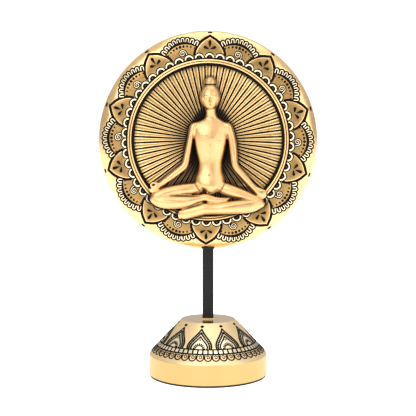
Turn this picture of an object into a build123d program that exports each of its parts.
"""Meditation disc on a stand: a cast mandala disc with a seated yoga figure, held on a black
square post above a weighted round base.

Frame: origin at the centre of the underside, +Z up, the disc faces -Y. Millimetres.
"""

import math
import os

from build123d import *

# ---------------------------------------------------------------- driving dimensions
# ray panel, on a ledge inside the border
panel_radius = 70.0
panel_thickness = 5.0
panel_depth = 7.0
ledge_width = 4.0

# disc border: a flat land that falls to the outer wall in a quarter ellipse
border_width = 30.0
dome_width = 18.0
dome_rise = 12.0
disc_wall = 7.5
disc_back_y = 7.5
disc_centre_z = 215.0
back_edge_fillet = 1.5

# double-bead bezel that covers the gap between border and panel
bezel_skirt = 2.6
bezel_overlap = 3.2
bezel_flange = 0.6
bead_setback = 1.9
bead_spacing = 0.4
bead_rise = 1.1

# back cover
cover_overlap = 14.0
cover_thickness = 2.5
cover_screw_inset = 6.0
cover_screw_count = 4

# post
post_width = 10.0
post_wall = 1.0
post_corner = 0.8
gasket_lip = 0.8
gasket_thickness = 1.2
gasket_seat_depth = 1.8
collar_lip = 0.8
collar_height = 1.2
socket_depth = 6.0

# base: a straight band and a cone up to a small plateau
base_radius = 54.0
base_height = 51.0
band_height = 20.0
plateau_radius = 24.5
shoulder_fillet = 3.0
edge_fillet = 1.0
base_wall = 5.0
plateau_wall = 10.0
pad_inset = 1.0
pad_thickness = 1.5

# tie rod and its fittings
rod_radius = 2.5
rod_tail = 2.5
insert_radius = 3.5
insert_length = 10.0
insert_setback = 3.0
washer_radius = 6.5
washer_thickness = 1.0
nut_width = 8.0
nut_height = 4.0
nut_pocket_radius = 9.0
nut_pocket_depth = 10.5

# small screws
screw_radius = 1.5
screw_head_radius = 2.9
cover_screw_length = 8.0
figure_screw_length = 12.0

# clearances
slip = 0.1
cast_gap = 0.4
thread_gap = 0.05

# ---------------------------------------------------------------- the figure's pose
# x to the right and z up from the disc's centre, f forward of the panel's face
torso_x = 1.4
torso_f = 3.0
# height and radius of the torso, hips to shoulders
torso_profile = [(-47.5, 7.5), (-38.0, 13.3), (-22.0, 11.3), (-8.0, 13.4), (3.0, 14.6), (12.0, 11.0)]
# each limb is a chain of balls, (x, z, f, radius), joined by cones a little slimmer than the balls
bone_share = 0.96
limbs = [
    # neck, head and top-knot
    [(1.7, 10.0, 5.0, 7.0), (1.5, 19.0, 8.0, 4.9), (1.4, 31.5, 10.5, 5.6), (1.4, 41.0, 10.0, 9.4),
     (1.4, 54.0, 9.5, 5.1)],
    # arms, shoulder to hand
    [(-14.6, 10.5, 7.0, 5.0), (-17.8, -6.0, 7.0, 3.8), (-21.2, -23.5, 7.0, 3.5),
     (-36.0, -34.5, 14.0, 3.1), (-46.5, -41.5, 19.0, 2.6), (-50.5, -44.0, 20.0, 3.2)],
    [(18.2, 9.5, 7.0, 5.0), (21.4, -6.0, 7.0, 3.8), (24.4, -23.0, 7.0, 3.5),
     (36.5, -35.5, 14.0, 3.1), (46.0, -44.5, 19.0, 2.6), (50.5, -49.0, 20.0, 3.2)],
    # leg that folds in from the left knee, its foot on top
    [(-8.0, -43.0, 11.0, 7.0), (-28.0, -46.5, 15.5, 6.4), (-46.5, -54.5, 17.5, 6.2),
     (-28.0, -57.5, 18.5, 5.8), (-6.0, -55.5, 21.0, 4.4), (6.0, -55.2, 23.0, 3.6),
     (17.0, -55.8, 22.5, 2.2)],
    # leg that folds in from the right knee, its foot below
    [(9.0, -43.0, 11.0, 7.0), (28.0, -48.5, 15.5, 6.4), (46.0, -58.0, 17.5, 6.2),
     (26.0, -61.5, 18.5, 5.8), (4.0, -64.0, 20.0, 4.6), (-8.0, -62.5, 21.5, 4.2),
     (-22.0, -68.0, 20.5, 3.6)],
]
figure_screws_at = [(1.8, 2.0), (1.0, -30.0)]

# ---------------------------------------------------------------- places that follow
disc_radius = panel_radius + border_width
bezel_inner_radius = panel_radius - bezel_skirt
bezel_outer_radius = panel_radius + bezel_overlap
bead_inner_radius = bezel_inner_radius + bead_setback
cover_radius = panel_radius + cover_overlap
cover_screw_circle = cover_radius - cover_screw_inset
disc_front_y = disc_back_y - disc_wall
land_y = disc_front_y - dome_rise
dome_radius = disc_radius - dome_width
cover_seat_y = disc_back_y - cover_thickness
panel_front_y = land_y + panel_depth
panel_back_y = panel_front_y + panel_thickness
ledge_radius = panel_radius - ledge_width
bead_foot_y = land_y - bezel_flange
bead_top_y = bead_foot_y - bead_rise
bead_width = (bezel_outer_radius - bead_inner_radius - bead_spacing) / 2

gasket_width = post_width + 2 * gasket_lip
collar_width = post_width + 2 * collar_lip
socket_width = post_width + 2 * slip
seat_z = disc_centre_z - disc_radius + gasket_seat_depth
post_top_z = seat_z - gasket_thickness
insert_low_z = seat_z + insert_setback
insert_top_z = insert_low_z + insert_length

cone_slope = (base_radius - plateau_radius) / (base_height - band_height)
wall_on_cone = math.hypot(1, cone_slope)
socket_floor_z = base_height - socket_depth
cavity_top_z = base_height - plateau_wall
ballast_low_z = pad_thickness + cast_gap
washer_top_z = ballast_low_z + nut_pocket_depth
nut_top_z = washer_top_z - washer_thickness
rod_low_z = nut_top_z - nut_height - rod_tail
screw_core = screw_radius - thread_gap
countersink = screw_head_radius - screw_radius

# half section of what is turned about the disc's axis: local x is the radius, local y the part's Y
disc_section = Plane(origin=(0, 0, disc_centre_z), x_dir=(1, 0, 0), z_dir=(0, 0, 1))
disc_axis = Axis((0, 0, disc_centre_z), (0, 1, 0))
# planes across the disc's axis, looking at its back
disc_back = Plane(origin=(0, disc_back_y, disc_centre_z), x_dir=(-1, 0, 0), z_dir=(0, 1, 0))
cover_seat = Plane(origin=(0, cover_seat_y, disc_centre_z), x_dir=(-1, 0, 0), z_dir=(0, 1, 0))
panel_back = Plane(origin=(0, panel_back_y, disc_centre_z), x_dir=(1, 0, 0), z_dir=(0, -1, 0))
panel_front = Plane(origin=(0, panel_front_y, disc_centre_z), x_dir=(1, 0, 0), z_dir=(0, -1, 0))


def base_section(inset, low_z, high_z):
    """Half section of the base set in by a wall: corner points from the axis out and back."""
    radius = base_radius - inset
    knee_z = band_height - inset * (wall_on_cone - 1) / cone_slope
    top_radius = radius - cone_slope * (high_z - knee_z)
    return [(0, low_z), (radius, low_z), (radius, knee_z), (top_radius, high_z), (0, high_z)]


# ---------------------------------------------------------------- disc
with BuildPart() as disc_rim:
    with BuildSketch(disc_section):
        with BuildLine():
            Polyline(
                (dome_radius, land_y),
                (panel_radius, land_y),
                (panel_radius, panel_back_y),
                (ledge_radius, panel_back_y),
                (ledge_radius, cover_seat_y),
                (cover_radius, cover_seat_y),
                (cover_radius, disc_back_y),
                (disc_radius, disc_back_y),
                (disc_radius, disc_front_y),
            )
            EllipticalCenterArc(
                (dome_radius, disc_front_y), dome_width, dome_rise, start_angle=270, arc_size=90
            )
        make_face()
    revolve(axis=disc_axis)
    widest = disc_rim.edges().filter_by(GeomType.CIRCLE).sort_by(SortBy.RADIUS)[-2:]
    fillet(widest.sort_by(Axis.Y)[-1], back_edge_fillet)
    # flat seat of the gasket, with the stepped bore of the threaded insert above it
    with BuildSketch(Plane.XY.offset(seat_z)):
        RectangleRounded(gasket_width + 2 * slip, gasket_width + 2 * slip, post_corner)
    extrude(amount=-gasket_seat_depth, mode=Mode.SUBTRACT)
    with BuildSketch(Plane.XY.offset(seat_z)):
        Circle(rod_radius + slip)
    extrude(amount=insert_setback, mode=Mode.SUBTRACT)
    with BuildSketch(Plane.XY.offset(insert_low_z)):
        Circle(insert_radius)
    extrude(amount=insert_length, mode=Mode.SUBTRACT)
    # pilot holes of the cover's screws
    with BuildSketch(cover_seat):
        with PolarLocations(cover_screw_circle, cover_screw_count, start_angle=45):
            Circle(screw_radius)
    extrude(amount=-(cover_screw_length - cover_thickness), mode=Mode.SUBTRACT)
disc_rim.part.label = "disc_rim"

with BuildPart() as ray_panel:
    with BuildSketch(panel_back):
        Circle(panel_radius - slip)
        with Locations(*figure_screws_at):
            Circle(screw_radius + slip, mode=Mode.SUBTRACT)
    extrude(amount=panel_thickness)
ray_panel.part.label = "ray_panel"

with BuildPart() as bezel_ring:
    with BuildSketch(disc_section):
        with BuildLine():
            Polyline(
                (bead_inner_radius, bead_foot_y),
                (bezel_inner_radius, bead_foot_y),
                (bezel_inner_radius, panel_front_y),
                (panel_radius - slip, panel_front_y),
                (panel_radius - slip, land_y),
                (bezel_outer_radius, land_y),
                (bezel_outer_radius, bead_foot_y),
            )
            for outer in (bezel_outer_radius, bead_inner_radius + bead_width):
                ThreePointArc(
                    (outer, bead_foot_y),
                    (outer - bead_width / 2, bead_top_y),
                    (outer - bead_width, bead_foot_y),
                )
            Line(
                (bezel_outer_radius - bead_width, bead_foot_y),
                (bead_inner_radius + bead_width, bead_foot_y),
            )
        make_face()
    revolve(axis=disc_axis)
bezel_ring.part.label = "bezel_ring"

with BuildPart() as back_cover:
    with BuildSketch(cover_seat):
        Circle(cover_radius - slip)
    extrude(amount=cover_thickness)
    with Locations(disc_back):
        with PolarLocations(cover_screw_circle, cover_screw_count, start_angle=45):
            CounterSinkHole(screw_radius + slip, screw_head_radius + slip, cover_thickness, 90)
back_cover.part.label = "back_cover"

with BuildPart(disc_back) as cover_screws:
    with PolarLocations(cover_screw_circle, cover_screw_count, start_angle=45):
        Cylinder(screw_core, cover_screw_length - slip, align=(Align.CENTER, Align.CENTER, Align.MAX))
        Cone(
            screw_core, screw_head_radius, countersink,
            align=(Align.CENTER, Align.CENTER, Align.MAX),
        )
cover_screws.part.label = "cover_screws"

# ---------------------------------------------------------------- figure
with BuildPart() as seated_figure:
    hip_z, top_z = torso_profile[0][0], torso_profile[-1][0]
    spine = Vector(torso_x, panel_front_y - torso_f, disc_centre_z)
    with BuildSketch(Plane(origin=spine, x_dir=(1, 0, 0), z_dir=(0, -1, 0))):
        with BuildLine():
            Polyline(
                (0, hip_z), *[(radius, z) for z, radius in torso_profile], (0, top_z), close=True
            )
        make_face()
    revolve(axis=Axis(spine, (0, 0, 1)))
    for limb in limbs:
        joints = [(Vector(x, panel_front_y - f, disc_centre_z + z), radius) for x, z, f, radius in limb]
        for place, radius in joints:
            with Locations(place):
                Sphere(radius)
        for (start, start_radius), (end, end_radius) in zip(joints, joints[1:]):
            run = end - start
            with Locations(Plane(origin=start, z_dir=run)):
                Cone(
                    start_radius * bone_share, end_radius * bone_share, run.length,
                    align=(Align.CENTER, Align.CENTER, Align.MIN),
                )
    # flat back on the panel, and room for the bezel and the border
    split(bisect_by=panel_front, keep=Keep.TOP)
    with BuildSketch(panel_front):
        Circle(disc_radius)
        Circle(bezel_inner_radius - cast_gap, mode=Mode.SUBTRACT)
    extrude(amount=panel_front_y - bead_top_y + cast_gap, mode=Mode.SUBTRACT)
    with BuildSketch(panel_front):
        with Locations(*figure_screws_at):
            Circle(screw_radius)
    extrude(amount=figure_screw_length - panel_thickness, mode=Mode.SUBTRACT)
seated_figure.part.label = "seated_figure"

with BuildPart(panel_back) as figure_screws:
    with Locations(*figure_screws_at):
        Cylinder(screw_core, figure_screw_length - slip, align=(Align.CENTER, Align.CENTER, Align.MIN))
        Cylinder(screw_head_radius, screw_radius, align=(Align.CENTER, Align.CENTER, Align.MAX))
figure_screws.part.label = "figure_screws"

# ---------------------------------------------------------------- post
with BuildPart() as post_tube:
    with BuildSketch(Plane.XY.offset(socket_floor_z)):
        RectangleRounded(post_width, post_width, post_corner)
        Rectangle(post_width - 2 * post_wall, post_width - 2 * post_wall, mode=Mode.SUBTRACT)
    extrude(amount=post_top_z - socket_floor_z)
post_tube.part.label = "post_tube"

with BuildPart() as rim_gasket:
    with BuildSketch(Plane.XY.offset(post_top_z)):
        RectangleRounded(gasket_width, gasket_width, post_corner)
        Circle(rod_radius + slip, mode=Mode.SUBTRACT)
    extrude(amount=gasket_thickness)
rim_gasket.part.label = "rim_gasket"

with BuildPart() as foot_collar:
    with BuildSketch(Plane.XY.offset(base_height)):
        RectangleRounded(collar_width, collar_width, post_corner)
        RectangleRounded(socket_width, socket_width, post_corner, mode=Mode.SUBTRACT)
    extrude(amount=collar_height)
foot_collar.part.label = "foot_collar"

# ---------------------------------------------------------------- tie rod
with BuildPart() as rod_insert:
    with BuildSketch(Plane.XY.offset(insert_low_z)):
        Circle(insert_radius)
        Circle(rod_radius, mode=Mode.SUBTRACT)
    extrude(amount=insert_length)
rod_insert.part.label = "rod_insert"

with BuildPart() as tie_rod:
    with BuildSketch(Plane.XY.offset(rod_low_z)):
        Circle(rod_radius - thread_gap)
    extrude(amount=insert_top_z - rod_low_z)
    chamfer(tie_rod.edges().filter_by(GeomType.CIRCLE), rod_radius / 5)
tie_rod.part.label = "tie_rod"

with BuildPart() as rod_washer:
    with BuildSketch(Plane.XY.offset(nut_top_z)):
        Circle(washer_radius)
        Circle(rod_radius + slip, mode=Mode.SUBTRACT)
    extrude(amount=washer_thickness)
rod_washer.part.label = "rod_washer"

with BuildPart() as rod_nut:
    with BuildSketch(Plane.XY.offset(nut_top_z)):
        RegularPolygon(nut_width / 2, 6, major_radius=False)
        Circle(rod_radius, mode=Mode.SUBTRACT)
    extrude(amount=-nut_height)
rod_nut.part.label = "rod_nut"

# ---------------------------------------------------------------- base
with BuildPart() as base_shell:
    with BuildSketch(Plane.XZ):
        with BuildLine():
            Polyline(*base_section(0, pad_thickness, base_height), close=True)
        make_face()
    revolve(axis=Axis.Z)
    foot_edge, shoulder_edge, plateau_edge = (
        base_shell.edges().filter_by(GeomType.CIRCLE).sort_by(Axis.Z)
    )
    fillet(shoulder_edge, shoulder_fillet)
    fillet([foot_edge, plateau_edge], edge_fillet)
    with BuildSketch(Plane.XZ):
        with BuildLine():
            Polyline(*base_section(base_wall, pad_thickness, cavity_top_z), close=True)
        make_face()
    revolve(axis=Axis.Z, mode=Mode.SUBTRACT)
    with BuildSketch(Plane.XY.offset(base_height)):
        RectangleRounded(socket_width, socket_width, post_corner)
    extrude(amount=-socket_depth, mode=Mode.SUBTRACT)
    with BuildSketch(Plane.XY.offset(socket_floor_z)):
        Circle(rod_radius + slip)
    extrude(amount=cavity_top_z - socket_floor_z, mode=Mode.SUBTRACT)
base_shell.part.label = "base_shell"

with BuildPart() as ballast:
    with BuildSketch(Plane.XZ):
        with BuildLine():
            Polyline(*base_section(base_wall + cast_gap, ballast_low_z, cavity_top_z), close=True)
        make_face()
    revolve(axis=Axis.Z)
    with BuildSketch(Plane.XY.offset(ballast_low_z)):
        Circle(nut_pocket_radius)
    extrude(amount=nut_pocket_depth, mode=Mode.SUBTRACT)
    with BuildSketch(Plane.XY.offset(washer_top_z)):
        Circle(rod_radius + slip)
    extrude(amount=cavity_top_z - washer_top_z, mode=Mode.SUBTRACT)
ballast.part.label = "ballast"

with BuildPart() as base_pad:
    with BuildSketch(Plane.XY):
        Circle(base_radius - pad_inset)
    extrude(amount=pad_thickness)
base_pad.part.label = "base_pad"

# ---------------------------------------------------------------- one file for each piece
os.makedirs("parts", exist_ok=True)
export_step(disc_rim.part, "parts/disc_rim.step")
export_step(ray_panel.part, "parts/ray_panel.step")
export_step(bezel_ring.part, "parts/bezel_ring.step")
export_step(back_cover.part, "parts/back_cover.step")
export_step(cover_screws.part, "parts/cover_screws.step")
export_step(seated_figure.part, "parts/seated_figure.step")
export_step(figure_screws.part, "parts/figure_screws.step")
export_step(post_tube.part, "parts/post_tube.step")
export_step(rim_gasket.part, "parts/rim_gasket.step")
export_step(foot_collar.part, "parts/foot_collar.step")
export_step(rod_insert.part, "parts/rod_insert.step")
export_step(tie_rod.part, "parts/tie_rod.step")
export_step(rod_washer.part, "parts/rod_washer.step")
export_step(rod_nut.part, "parts/rod_nut.step")
export_step(base_shell.part, "parts/base_shell.step")
export_step(ballast.part, "parts/ballast.step")
export_step(base_pad.part, "parts/base_pad.step")
